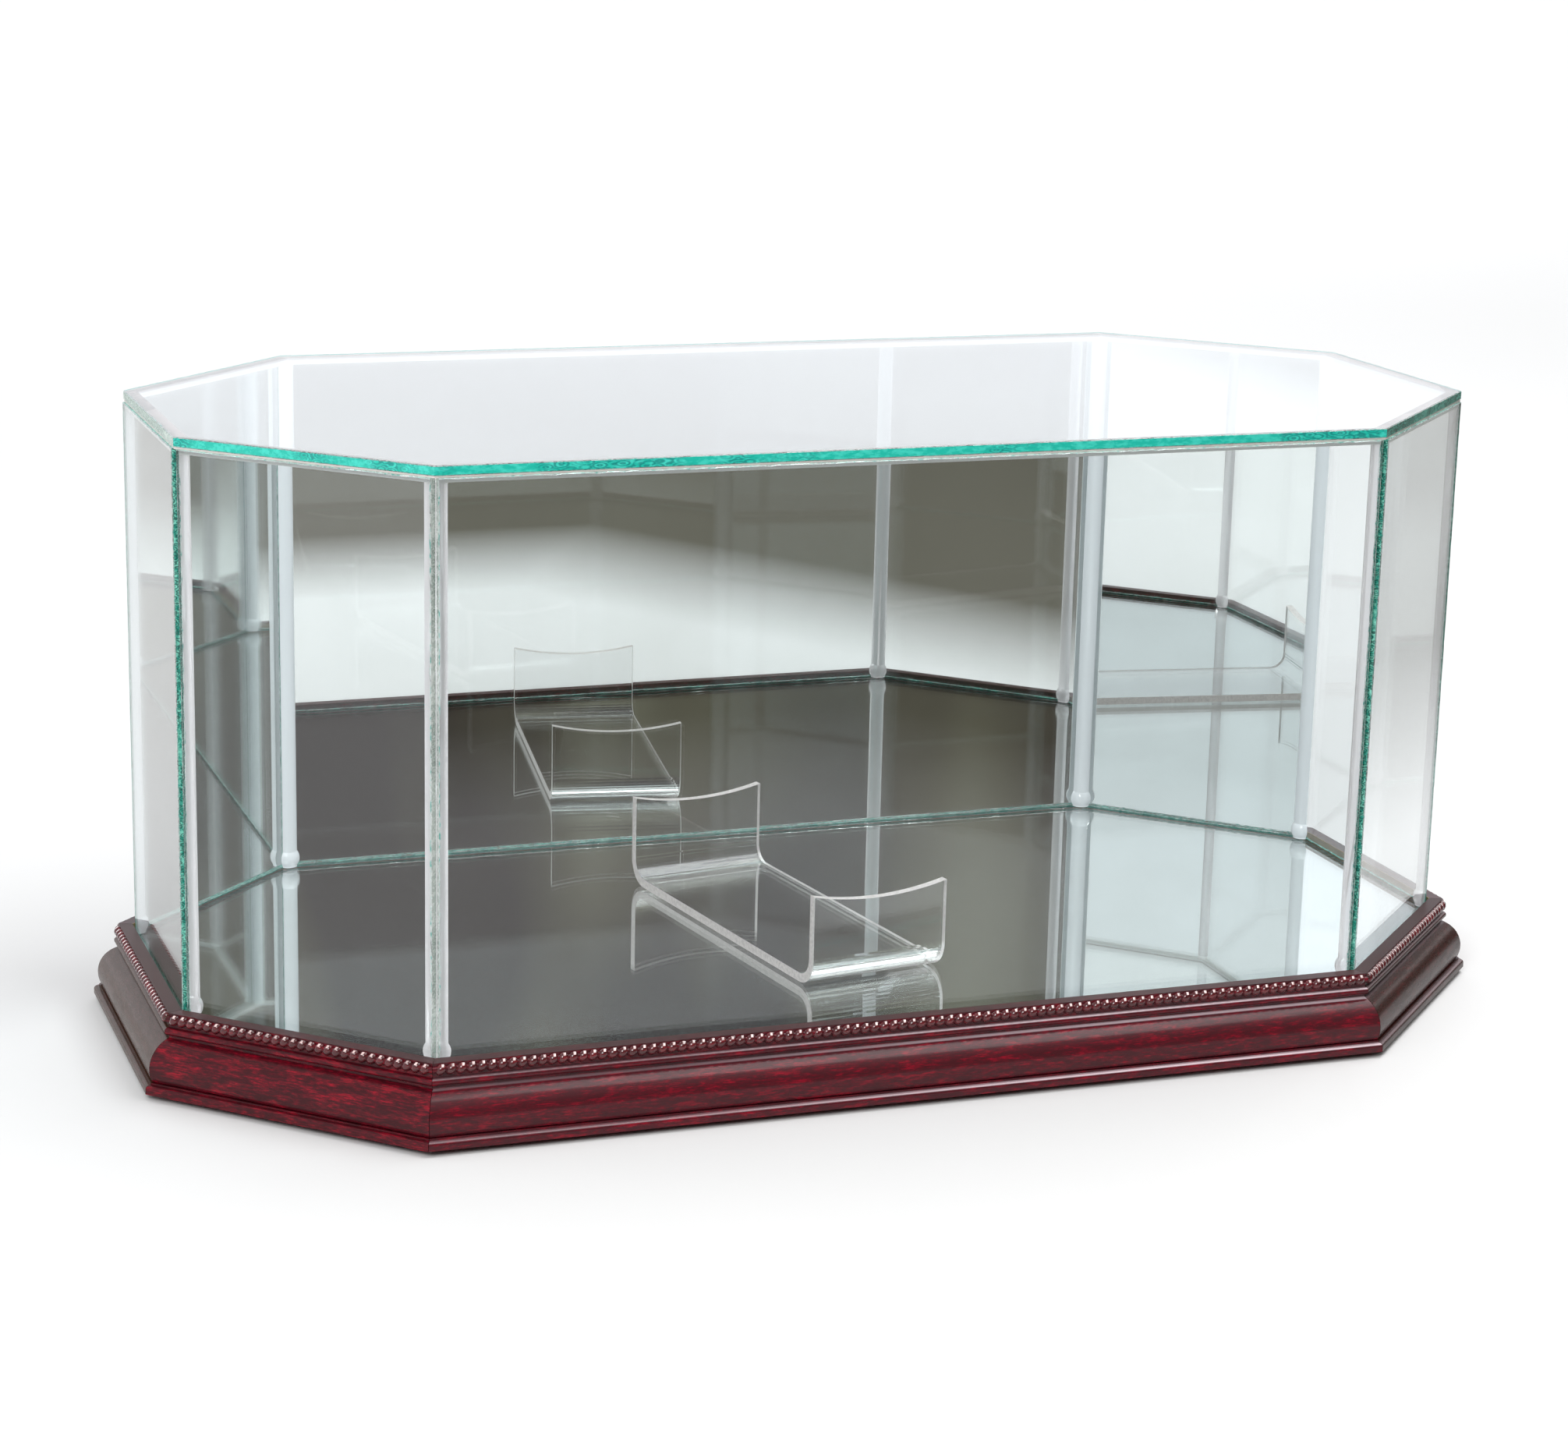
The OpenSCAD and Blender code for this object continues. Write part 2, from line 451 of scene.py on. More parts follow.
@dataclass(frozen=True)
class ShadedCoat:
    """A finish shaded by one noise: raw board, backing paint, the pale highlight painted on top of a bead, or
    sawn acrylic, whose glow is painted light.
    """

    name: str
    colour: Triple
    scale: Triple = (700, 700, 700)
    detail: float = 5.0
    unevenness: float = 0.7
    band: Range = (0.35, 0.65)
    shades: Range = (0.55, 1.0)
    roughness: float = 0.85
    relief: float = 0.4
    relief_depth: float = 0.1 * MM
    coat: float = 0.0
    clear: float = 0.0
    ior: float = 1.5
    # Emission: painted light on a finish that is no lamp.
    glow: float = 0.0

    def material(self) -> Look:
        """Builds the material.

        Returns:
            The colour in two shades, with the coat, relief and glow that the fields ask for.
        """
        sheet = Sheet(self.name)
        grain = sheet.noise(sheet.place(0.0, self.scale), self.detail, self.unevenness)
        low, high = (tuple(shade * part for part in self.colour) for shade in self.shades)
        tone = sheet.mix(sheet.span(grain, *self.band), low, high)
        inputs: dict[str, Any] = {"Base_Color": tone, "Transmission_Weight": self.clear, "IOR": self.ior}
        if self.relief:
            inputs["Normal"] = sheet.bump(grain, self.relief, self.relief_depth)
        # The glow is painted light.
        if self.glow:
            inputs |= {"Emission_Color": tone, "Emission_Strength": self.glow}
        shader = sheet.surface(Roughness=self.roughness, Coat_Weight=self.coat, Coat_Roughness=0.05, **inputs)
        return sheet.finish(shader)


@dataclass(frozen=True)
class ClearSolid:
    """A see-through solid: float glass, acrylic or silicone."""

    name: str
    tint: Triple
    ior: float
    roughness: float = 0.0
    milk: float = 0.0
    ripple: float = 0.0
    # Emission: painted light that brightens a solid that is no lamp.
    glow: float = 0.0
    wave_scale: Triple = (900, 900, 22)

    def material(self) -> Look:
        """Builds the material.

        Returns:
            A refracting solid that lamps shine through, cloudy where milk says so.
        """
        sheet = Sheet(self.name)
        inputs: dict[str, Any] = {
            "Base_Color": self.tint,
            "Roughness": self.roughness,
            "IOR": self.ior,
            "Transmission_Weight": 1.0 - self.milk,
            "Emission_Color": self.tint,
            "Emission_Strength": self.glow,
        }
        if self.ripple:
            wave = sheet.noise(sheet.place(0.0, self.wave_scale), 2.0, 0.5)
            inputs["Normal"] = sheet.bump(wave, self.ripple, 0.5 * MM)
        shade = tuple(math.sqrt(c) for c in self.tint)
        return sheet.finish_clear(sheet.surface(**inputs), shade)


@dataclass(frozen=True)
class CutEdge:
    """The ground edge of float glass, with shell marks where the cutter chipped it."""

    name: str
    turn: float = 0.0
    dark: Triple = (0.008, 0.25, 0.23)
    body: Triple = (0.016, 0.52, 0.41)
    light: Triple = (0.06, 0.70, 0.58)
    shelled: float = 0.50
    clear: float = 0.0
    shell_scale: Triple = (230, 420, 620)
    stretch_scale: Triple = (38, 38, 38)
    spot_scale: Triple = (260, 650, 650)
    shell_ring: float = 0.16

    def material(self) -> Look:
        """Builds the material, with shell marks a few millimetres wide in some stretches.

        Returns:
            The green edge.
        """
        sheet = Sheet(self.name)
        shells = sheet.add("TexVoronoi", {"Vector": sheet.place(self.turn, self.shell_scale), "Scale": 1.0})
        far = shells.outputs["Distance"]
        stretch = sheet.noise(sheet.place(self.turn, self.stretch_scale), 2.0, 0.5)
        spots = sheet.noise(sheet.place(self.turn, self.spot_scale), 3.0, 0.6)
        chipped = sheet.span(stretch, self.shelled, self.shelled + 0.08)
        ring = sheet.maths("PINGPONG", far, self.shell_ring)
        strokes = sheet.span(ring, 0.05, 0.12, 0.0, 0.85)
        tone = sheet.ramp(spots, [(0.42, self.body), (0.66, self.light)])
        marked = sheet.mix(sheet.maths("MULTIPLY", chipped, strokes), tone, self.dark)
        shader = sheet.surface(
            Base_Color=marked, Roughness=sheet.span(spots, 0.35, 0.65, 0.14, 0.4), IOR=1.52,
            Normal=sheet.bump(far, 0.35, 0.12 * MM), Transmission_Weight=self.clear,
        )
        return sheet.finish(shader)


@dataclass(frozen=True)
class GroundArris:
    """The narrow ground corner between a glass face and its cut edge."""

    name: str
    colour: Triple = (0.72, 0.82, 0.80)
    chipped: Triple = (0.10, 0.36, 0.31)
    shade: Triple = (0.8, 0.86, 0.84)

    def material(self) -> Look:
        """Builds the material, half clear and broken by fine chips.

        Returns:
            The frosted corner.
        """
        sheet = Sheet(self.name)
        chips = sheet.noise(sheet.place(0.0, (800, 800, 500)), 3.0, 0.65)
        clear = sheet.span(chips, 0.4, 0.6, 0.35, 0.85)
        tone = sheet.mix(sheet.span(chips, 0.38, 0.5), self.chipped, self.colour)
        shader = sheet.surface(Base_Color=tone, Roughness=0.22, IOR=1.5, Transmission_Weight=clear)
        return sheet.finish_clear(shader, self.shade)


@dataclass(frozen=True)
class Silvering:
    """The bright metal layer on the back of a mirror."""

    name: str
    fresh: Triple = (0.94, 0.96, 0.95)
    aged: Triple = (0.88, 0.90, 0.885)

    def material(self) -> Look:
        """Builds the material of a silver layer that has dulled a little in clouds.

        Returns:
            The mirror's silver.
        """
        sheet = Sheet(self.name)
        haze = sheet.noise(sheet.place(0.0, (14, 14, 14)), 3.0, 0.6)
        colour = sheet.mix(sheet.span(haze, 0.35, 0.7), self.fresh, self.aged)
        return sheet.finish(sheet.surface(Base_Color=colour, Metallic=1.0, Roughness=0.0))


@dataclass(frozen=True)
class BondLine:
    """Whitish adhesive on the rim of the walls, and the clear fillet under the top plate."""

    name: str
    rim_from: float
    rim: Triple = (0.72, 0.64, 0.62)
    fillet: Triple = (0.90, 0.93, 0.92)
    fade: float = 0.02 * MM
    # The fillet's glow is painted light against the top plate's shadow.
    glow: float = 0.30

    def material(self) -> Look:
        """Builds the material of smeared adhesive; where it is a fillet it glows a little, painted light that
        lifts the shadow that the top plate's edge casts on it.

        Returns:
            The adhesive.
        """
        sheet = Sheet(self.name)
        smear = sheet.noise(sheet.place(0.0, (120, 120, 300)), 4.0, 0.6)
        height = sheet.add("SeparateXYZ", {0: sheet.place()}).outputs["Z"]
        is_rim = sheet.span(height, self.rim_from - self.fade, self.rim_from + self.fade)
        glow = sheet.span(is_rim, 0.0, 1.0, self.glow, 0.0)
        rough = sheet.span(smear, 0.3, 0.7, 0.1, 0.3)
        shader = sheet.surface(
            Base_Color=sheet.mix(is_rim, self.fillet, self.rim), Roughness=rough, IOR=1.41,
            Transmission_Weight=0.05, Normal=sheet.bump(smear, 0.4, 0.2 * MM),
            Emission_Color=self.fillet, Emission_Strength=glow,
        )
        return sheet.finish_clear(shader, (0.8, 0.82, 0.8))


@dataclass(frozen=True)
class Rubber:
    """Matt black rubber of the feet."""

    name: str
    colour: Triple = (0.012, 0.012, 0.013)

    def material(self) -> Look:
        """Builds the material with a fine moulded grain.

        Returns:
            The rubber.
        """
        sheet = Sheet(self.name)
        grain = sheet.noise(sheet.place(0.0, (2500, 2500, 2500)), 2.0, 0.5)
        rough = sheet.span(grain, 0.3, 0.7, 0.55, 0.8)
        relief = sheet.bump(grain, 0.3, 0.05 * MM)
        return sheet.finish(sheet.surface(Base_Color=self.colour, Roughness=rough, Normal=relief))


# ---- making pieces
def add_object(name: str, data: bpy.types.ID) -> bpy.types.Object:
    """Adds an object to the scene, unmoved.

    Args:
        name: The object's name.
        data: Its mesh, lamp or camera.

    Returns:
        The new object.
    """
    thing = bpy.data.objects.new(name, data)
    bpy.context.scene.collection.objects.link(thing)
    return thing


def add_mesh(name: str, shape: Shape, looks: list[Look]) -> bpy.types.Object:
    """Adds a mesh object made from a shape, which is freed, with its materials in order.

    Args:
        name: The object's and the mesh's name.
        shape: The shape.
        looks: The materials.

    Returns:
        The new object.
    """
    mesh = bpy.data.meshes.new(name)
    shape.to_mesh(mesh)
    shape.free()
    for look in looks:
        mesh.materials.append(look)
    return add_object(name, mesh)


def put_piece(name: str, shape: Shape, finishes: list[Look], body: Body,
              replaces: tuple[str, ...] = (), smooth: bool = False) -> None:
    """Makes a shown piece from a finished shape, at the origin, and lets it ride on its body.

    Args:
        name: The piece's name.
        shape: The shape in the scene's frame. It is freed.
        finishes: The materials, by the numbers that the shape's faces hold.
        body: The body that the piece moves with.
        replaces: The CAD nodes that the piece stands for.
        smooth: True to shade the faces smooth.
    """
    for face in shape.faces:
        face.smooth = smooth
    piece = add_mesh(name, shape, finishes)
    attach(piece, body.value)
    if replaces:
        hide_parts(*replaces)


def dress_node(node: str, finish: Look) -> None:
    """Gives a CAD node a new material in every slot.

    Args:
        node: The CAD node's name.
        finish: The material.
    """
    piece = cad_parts[node]
    if not piece.material_slots:
        piece.data.materials.append(finish)
    for slot in piece.material_slots:
        slot.material = finish


# ---- base
@dataclass
class Moulding:
    """The eight mitred mouldings with their rows of beads."""

    plan: Plan
    pitch: float = 3.1 * MM
    bead_out: float = 5.05 * MM
    bead_drop: float = 2.0 * MM
    bead_size: Triple = (1.72 * MM, 1.75 * MM, 1.85 * MM)
    lean: float = 0.25
    end_gap: float = 0.6
    # The faces of each bead that look this way take a pale painted highlight.
    highlight_facing: Triple = (0, -0.5, 0.866)
    highlight_within: float = 0.93
    lip_play: float = 0.5 * MM
    raw_inset: float = 0.15 * MM
    # Per side the same cherry takes other colours and gloss: painted light and shade, browner on the left,
    # darker and browner on the front right, both less glossy, redder on the front, with painted highlight
    # lines on the front and faintly on the front right.
    painted_side_light: dict[Side, dict[str, Any]] = field(default_factory=lambda: {
        Side.LEFT: {
            "coat": 0.12, "sheen": 0.10, "dark": (0.044, 0.019, 0.010),
            "deep": (0.058, 0.023, 0.013), "red": (0.075, 0.024, 0.020),
        },
        Side.FRONT: {
            "painted_line_strength": 1.0, "dark": (0.055, 0.009, 0.013), "deep": (0.10, 0.007, 0.014),
            "red": (0.245, 0.006, 0.018),
        },
        Side.FRONT_RIGHT: {
            "painted_line_strength": 0.3, "coat": 0.10, "sheen": 0.08, "dark": (0.024, 0.008, 0.006),
            "deep": (0.038, 0.011, 0.009), "red": (0.068, 0.011, 0.011),
        },
    })

    def bead_row(self, side: Side) -> Shape:
        """Shapes the beads of one moulding, which lean a little like a rope's strands.

        Args:
            side: The side that the moulding lies on.

        Returns:
            The beads in the scene's frame.
        """
        row = bmesh.new()
        length = self.plan.side_length(side, self.bead_out) - self.pitch * self.end_gap
        count = max(2, round(length / self.pitch))
        place = self.plan.place(side)
        shear = Matrix(((1, 0, self.lean, 0), (0, 1, 0, 0), (0, 0, 1, 0), (0, 0, 0, 1)))
        size = Matrix.Diagonal((*self.bead_size, 1.0))
        upright = Matrix.Rotation(QUARTER, 4, "Y")
        for number in range(count):
            along = (number - (count - 1) / 2) * length / count
            at = Matrix.Translation((along, -self.bead_out, self.plan.lip - self.bead_drop))
            bmesh.ops.create_uvsphere(
                row, u_segments=10, v_segments=7, radius=1.0, matrix=place @ at @ shear @ size @ upright
            )
        # Faces turned towards the highlight take the second material, the painted highlight.
        highlight_facing = place.to_3x3() @ Vector(self.highlight_facing)
        for face in row.faces:
            face.normal_update()
            face.material_index = 1 if face.normal.dot(highlight_facing) > self.highlight_within else 0
        return row

    def build(self) -> None:
        """Dresses the mouldings and adds their beads."""
        for side in Side:
            is_raw = side in (Side.RIGHT, Side.BACK_RIGHT, Side.BACK, Side.BACK_LEFT)
            raw_from = -(self.plan.reach(side) + self.lip_play + self.raw_inset) if is_raw else None
            # The side's colours and gloss carry its painted light and shade.
            side_light = self.painted_side_light.get(side, {})
            wood = CherryLacquer(f"cherry_{side.label}", side.turn, raw_from, self.plan.lip, **side_light)
            dress_node(f"rail_{side.label}", wood.material())
            bead_finish = CherryLacquer(
                f"cherry_beads_{side.label}", side.turn, gloss=0.14, coat=1.0, dark=(0.055, 0.008, 0.010),
                deep=(0.10, 0.010, 0.014), red=(0.19, 0.014, 0.020),
            ).material()
            # A pale spot painted on top of each bead as its highlight.
            bead_highlight = ShadedCoat(
                f"bead_tips_{side.label}", (0.86, 0.62, 0.60), (500, 500, 500), 2.0, 0.5, band=(0.35, 0.6),
                shades=(0.45, 1.0), roughness=0.12, relief=0.0, coat=1.0,
            ).material()
            put_piece(f"beads_{side.label}", self.bead_row(side), [bead_finish, bead_highlight], Body.BASE,
                      smooth=True)
            LOG.info("moulding and beads: %s", side.label)


@dataclass
class FloorMirror:
    """The floor mirror: a glass plate, silvered and painted on its underside."""

    plan: Plan

    def build(self, finishes: "MirrorFinishes") -> None:
        """Builds the plate and its paint.

        Args:
            finishes: The glass, cut edge, silver and paint.
        """
        low = self.plan.mirror_low
        plate = prism(self.plan.outline(0.0), low + PAINT_THICK, self.plan.mirror_high)
        mark_sides(plate, CUT)
        for face in plate.faces:
            if face.normal.z < -FACES:
                face.material_index = 2
        put_piece(
            "floor_mirror_glass", plate, [finishes.glass, finishes.foot_edge, finishes.silver], Body.BASE,
            ("floor_mirror",),
        )
        coat = prism(self.plan.outline(-PAINT_INSET), low, low + PAINT_THICK - PAINT_GAP)
        put_piece("floor_mirror_paint", coat, [finishes.paint], Body.BASE)
        LOG.info("floor mirror")


def prism(corners: list[Vector], low: float, high: float) -> Shape:
    """An upright prism over a flat outline.

    Args:
        corners: The outline's points, anticlockwise.
        low: Height of its underside.
        high: Height of its top.

    Returns:
        The closed prism.
    """
    shape = bmesh.new()
    ring = [bmesh.ops.create_vert(shape, co=(p.x, p.y, low))["vert"][0] for p in corners]
    bmesh.ops.contextual_create(shape, geom=ring)
    grown = bmesh.ops.extrude_face_region(shape, geom=shape.faces[:])
    top = [v for v in grown["geom"] if isinstance(v, bmesh.types.BMVert)]
    bmesh.ops.translate(shape, verts=top, vec=(0, 0, high - low))
    bmesh.ops.recalc_face_normals(shape, faces=shape.faces[:])
    return shape


def slab(width: float, thick: float, height: float, middle: Vector) -> Shape:
    """A closed box of three sizes round its middle.

    Args:
        width: Its size along X.
        thick: Its size along Y.
        height: Its size along Z.
        middle: Its middle.

    Returns:
        The box.
    """
    shape = bmesh.new()
    size = Matrix.Diagonal((width, thick, height, 1.0))
    bmesh.ops.create_cube(shape, size=1.0, matrix=Matrix.Translation(middle) @ size)
    return shape


def mark_sides(shape: Shape, number: int) -> None:
    """Gives a flat plate's upright faces another material number.

    Args:
        shape: The plate.
        number: The number.
    """
    for face in shape.faces:
        face.normal_update()
        if abs(face.normal.z) < FACES:
            face.material_index = number


@dataclass
class BaseUnderside:
    """What lies under the floor: the board, the glue blocks and the rubber feet."""

    board: ShadedCoat = ShadedCoat("fibreboard", (0.33, 0.22, 0.12))
    blocks: ShadedCoat = ShadedCoat("glue_blocks", (0.55, 0.38, 0.2), (1500, 90, 1500))
    rubber: Rubber = Rubber("rubber")

    def build(self) -> None:
        """Dresses the CAD nodes of the underside."""
        dress_node("base_board", self.board.material())
        dress_node("corner_blocks", self.blocks.material())
        black = self.rubber.material()
        for end in ("front_left", "front_right", "back_left", "back_right"):
            dress_node(f"foot_{end}", black)
        LOG.info("board, blocks and feet")


# ---- cover
@dataclass(frozen=True)
class MirrorFinishes:
    """The finished materials that the glass plates share."""

    glass: Look
    arris: Look
    foot_edge: Look
    silver: Look
    paint: Look

    @classmethod
    def make(cls) -> "MirrorFinishes":
        """Builds the shared materials once.

        Returns:
            The set.
        """
        return cls(
            glass=ClearSolid("float_glass", (0.935, 0.955, 0.958), 1.5).material(),
            arris=GroundArris("ground_arris").material(),
            foot_edge=CutEdge("cut_edge_foot", light=(0.20, 0.80, 0.66)).material(),
            silver=Silvering("silvering").material(),
            paint=ShadedCoat(
                "backing_paint", (0.17, 0.185, 0.19), (420, 420, 60), 4.0, 0.65, band=(0.3, 0.7),
                shades=(1.0, 1.25), roughness=0.42, relief=0.25, relief_depth=0.05 * MM,
            ).material(),
        )


@dataclass
class GlassCover:
    """The glued cover: five clear walls, three mirrored ones and the top plate."""

    plan: Plan
    arris: float = 0.28 * MM
    jitter: float = 0.16 * MM
    step: float = 2.6 * MM
    pane_play: float = 0.1 * MM
    seam_play: float = 0.03 * MM
    short_rim: float = 0.2
    rim_within: float = 0.95
    seed: int = 11
    smeared: dict[Side, int] = field(default_factory=lambda: {Side.FRONT: -1, Side.FRONT_LEFT: 1})

    def rims(self, shape: Shape) -> Edges:
        """The edges between a plate's faces and its cut edges."""
        return [edge for edge in shape.edges if len({face.material_index for face in edge.link_faces}) == 2]

    def ground(self, shape: Shape, rng: random.Random) -> None:
        """Grinds a plate's arrises unevenly, as if by hand.

        Args:
            shape: A plate with sharp edges, whose cut faces hold the number CUT.
            rng: The source of the unevenness.
        """
        rims = self.rims(shape)
        longest = max(edge.calc_length() for edge in rims)
        for edge in rims:
            cuts = round(edge.calc_length() / self.step) - 1
            if edge.calc_length() > self.short_rim * longest and cuts > 0:
                bmesh.ops.subdivide_edges(shape, edges=[edge], cuts=cuts)
        made = bmesh.ops.bevel(
            shape, geom=self.rims(shape), offset=self.arris, offset_type="OFFSET", affect="EDGES",
            segments=1, profile=0.5, material=ARRIS, clamp_overlap=True,
        )
        for vert in made["verts"]:
            big = [face for face in vert.link_faces if face.material_index == FACE]
            if big:
                flat = big[0].normal
                shift = Vector([rng.uniform(-self.jitter, self.jitter) for _ in range(3)])
                vert.co += shift - shift.dot(flat) * flat

    def wall(self, side: Side, inner: float, outer: float) -> Shape:
        """Shapes one wall plate.

        Args:
            side: The side that the wall stands on.
            inner: Depth of its inner face behind the outer glass face.
            outer: Depth of its outer face.

        Returns:
            The plate in the scene's frame, with a number on every face for its material.
        """
        width = self.plan.side_length(side, -self.plan.glass) - self.pane_play
        height = self.plan.wall_high - self.plan.wall_low
        middle = Vector((0, (inner + outer) / 2, (self.plan.wall_low + self.plan.wall_high) / 2))
        shape = slab(width, inner - outer, height, middle)
        for face in shape.faces:
            face.normal_update()
            face.material_index = FACE if abs(face.normal.y) > FACES else CUT
        self.ground(shape, random.Random(self.seed + side.value))
        for face in shape.faces:
            face.normal_update()
            if face.normal.z < -FACES:
                face.material_index = FOOT
            elif side.is_mirror and face.normal.y < -FACES:
                face.material_index = BACK
            elif face.normal.x * self.smeared.get(side, 0) > FACES:
                face.material_index = BACK
        shape.transform(self.plan.place(side))
        return shape

    def build(self, finishes: MirrorFinishes) -> None:
        """Builds the walls and the top plate.

        Args:
            finishes: The glass, cut edge, silver and paint.
        """
        smeared = CutEdge(
            "cut_edge_smeared", dark=(0.42, 0.49, 0.46), body=(0.66, 0.72, 0.69), light=(0.84, 0.87, 0.85),
            shelled=0.42, clear=0.15,
        ).material()
        for side in Side:
            edge = CutEdge(
                f"cut_edge_{side.label}", side.turn, dark=(0.012, 0.085, 0.07), body=(0.035, 0.34, 0.26),
                light=(0.30, 0.80, 0.66), shelled=0.30,
            ).material()
            looks = [finishes.glass, edge, finishes.arris, finishes.foot_edge]
            slot, outer = "clear_glass", 0.0
            if side in self.smeared:
                looks.append(smeared)
            if side.is_mirror:
                looks.append(finishes.silver)
                slot, outer = "wall_mirror", PAINT_THICK
                put_piece(f"paint_{side.label}", self.coat(side), [finishes.paint], Body.COVER)
            plate = self.wall(side, self.plan.glass - self.seam_play, outer)
            put_piece(f"pane_{side.label}", plate, looks, Body.COVER, (side.wall_node,))
            LOG.info("wall: %s", side.label)
        top = prism(self.plan.outline(-self.plan.plate_inset), self.plan.plate_low, self.plan.plate_high)
        mark_sides(top, CUT)
        self.ground(top, random.Random(self.seed))
        # The cut edge is darker on the front right and paler on the left: painted shade and painted light, as
        # the light falls.
        dim = CutEdge(
            "cut_edge_top_shaded", Side.FRONT_RIGHT.turn, dark=(0.020, 0.10, 0.085), body=(0.05, 0.26, 0.21),
            light=(0.13, 0.46, 0.38), shelled=0.42,
        )
        pale = CutEdge(
            "cut_edge_top_lit", Side.LEFT.turn, dark=(0.16, 0.26, 0.21), body=(0.34, 0.48, 0.42),
            light=(0.64, 0.72, 0.66), shelled=0.42, clear=0.2,
        )
        for face in top.faces:
            face.normal_update()
            if face.material_index == CUT:
                face.material_index = self.rim_look(face.normal)
        bright = CutEdge("cut_edge_top")
        looks = [finishes.glass, bright.material(), finishes.arris, dim.material(), pale.material()]
        put_piece("pane_top", top, looks, Body.COVER, ("glass_top",))
        LOG.info("top plate")

    def rim_look(self, normal: Vector) -> int:
        """The material number of the top plate's cut edge on the side that a normal points to.

        Args:
            normal: The normal.

        Returns:
            3 on the side with painted shade, 4 on the side with painted light and CUT on the others.
        """
        shaded_and_lit = {Side.FRONT_RIGHT: 3, Side.LEFT: 4}
        for side, number in shaded_and_lit.items():
            if normal.dot(Vector((math.sin(side.turn), -math.cos(side.turn), 0))) > self.rim_within:
                return number
        return CUT

    def coat(self, side: Side) -> Shape:
        """Shapes the paint behind a mirrored wall.

        Args:
            side: The side that the wall stands on.

        Returns:
            A thin slab just behind the silver, in the scene's frame.
        """
        width = self.plan.side_length(side, -self.plan.glass) - self.pane_play - 2 * PAINT_INSET
        height = self.plan.wall_high - self.plan.wall_low - 2 * PAINT_INSET
        thick = PAINT_THICK - PAINT_GAP
        middle = Vector((0, thick / 2, (self.plan.wall_low + self.plan.wall_high) / 2))
        shape = slab(width, thick, height, middle)
        shape.transform(self.plan.place(side))
        return shape


@dataclass
class Seams:
    """The clear silicone beads in the corners and the adhesive under the top plate."""

    plan: Plan
    corners: tuple[str, ...] = (
        "front_left", "front_right", "right_front", "right_back",
        "back_right", "back_left", "left_back", "left_front",
    )
    # Both silicones glow a little, the one on the mirrors more: painted light that brightens the seams.
    silicone: ClearSolid = ClearSolid(
        "silicone", (0.98, 0.97, 0.985), 1.41, roughness=0.06, milk=0.42, ripple=0.16, glow=0.10,
    )
    cloudy: ClearSolid = ClearSolid(
        "silicone_on_mirror", (0.93, 0.975, 0.995), 1.41, roughness=0.1, milk=0.82, ripple=0.10, glow=0.16,
    )

    def build(self) -> None:
        """Dresses the seams and the bond."""
        clear, cloudy = self.silicone.material(), self.cloudy.material()
        for corner in self.corners:
            dress_node(f"seam_{corner}", cloudy if "back" in corner else clear)
        dress_node("top_bond", BondLine("bond", self.plan.wall_high).material())
        LOG.info("silicone seams and bond")


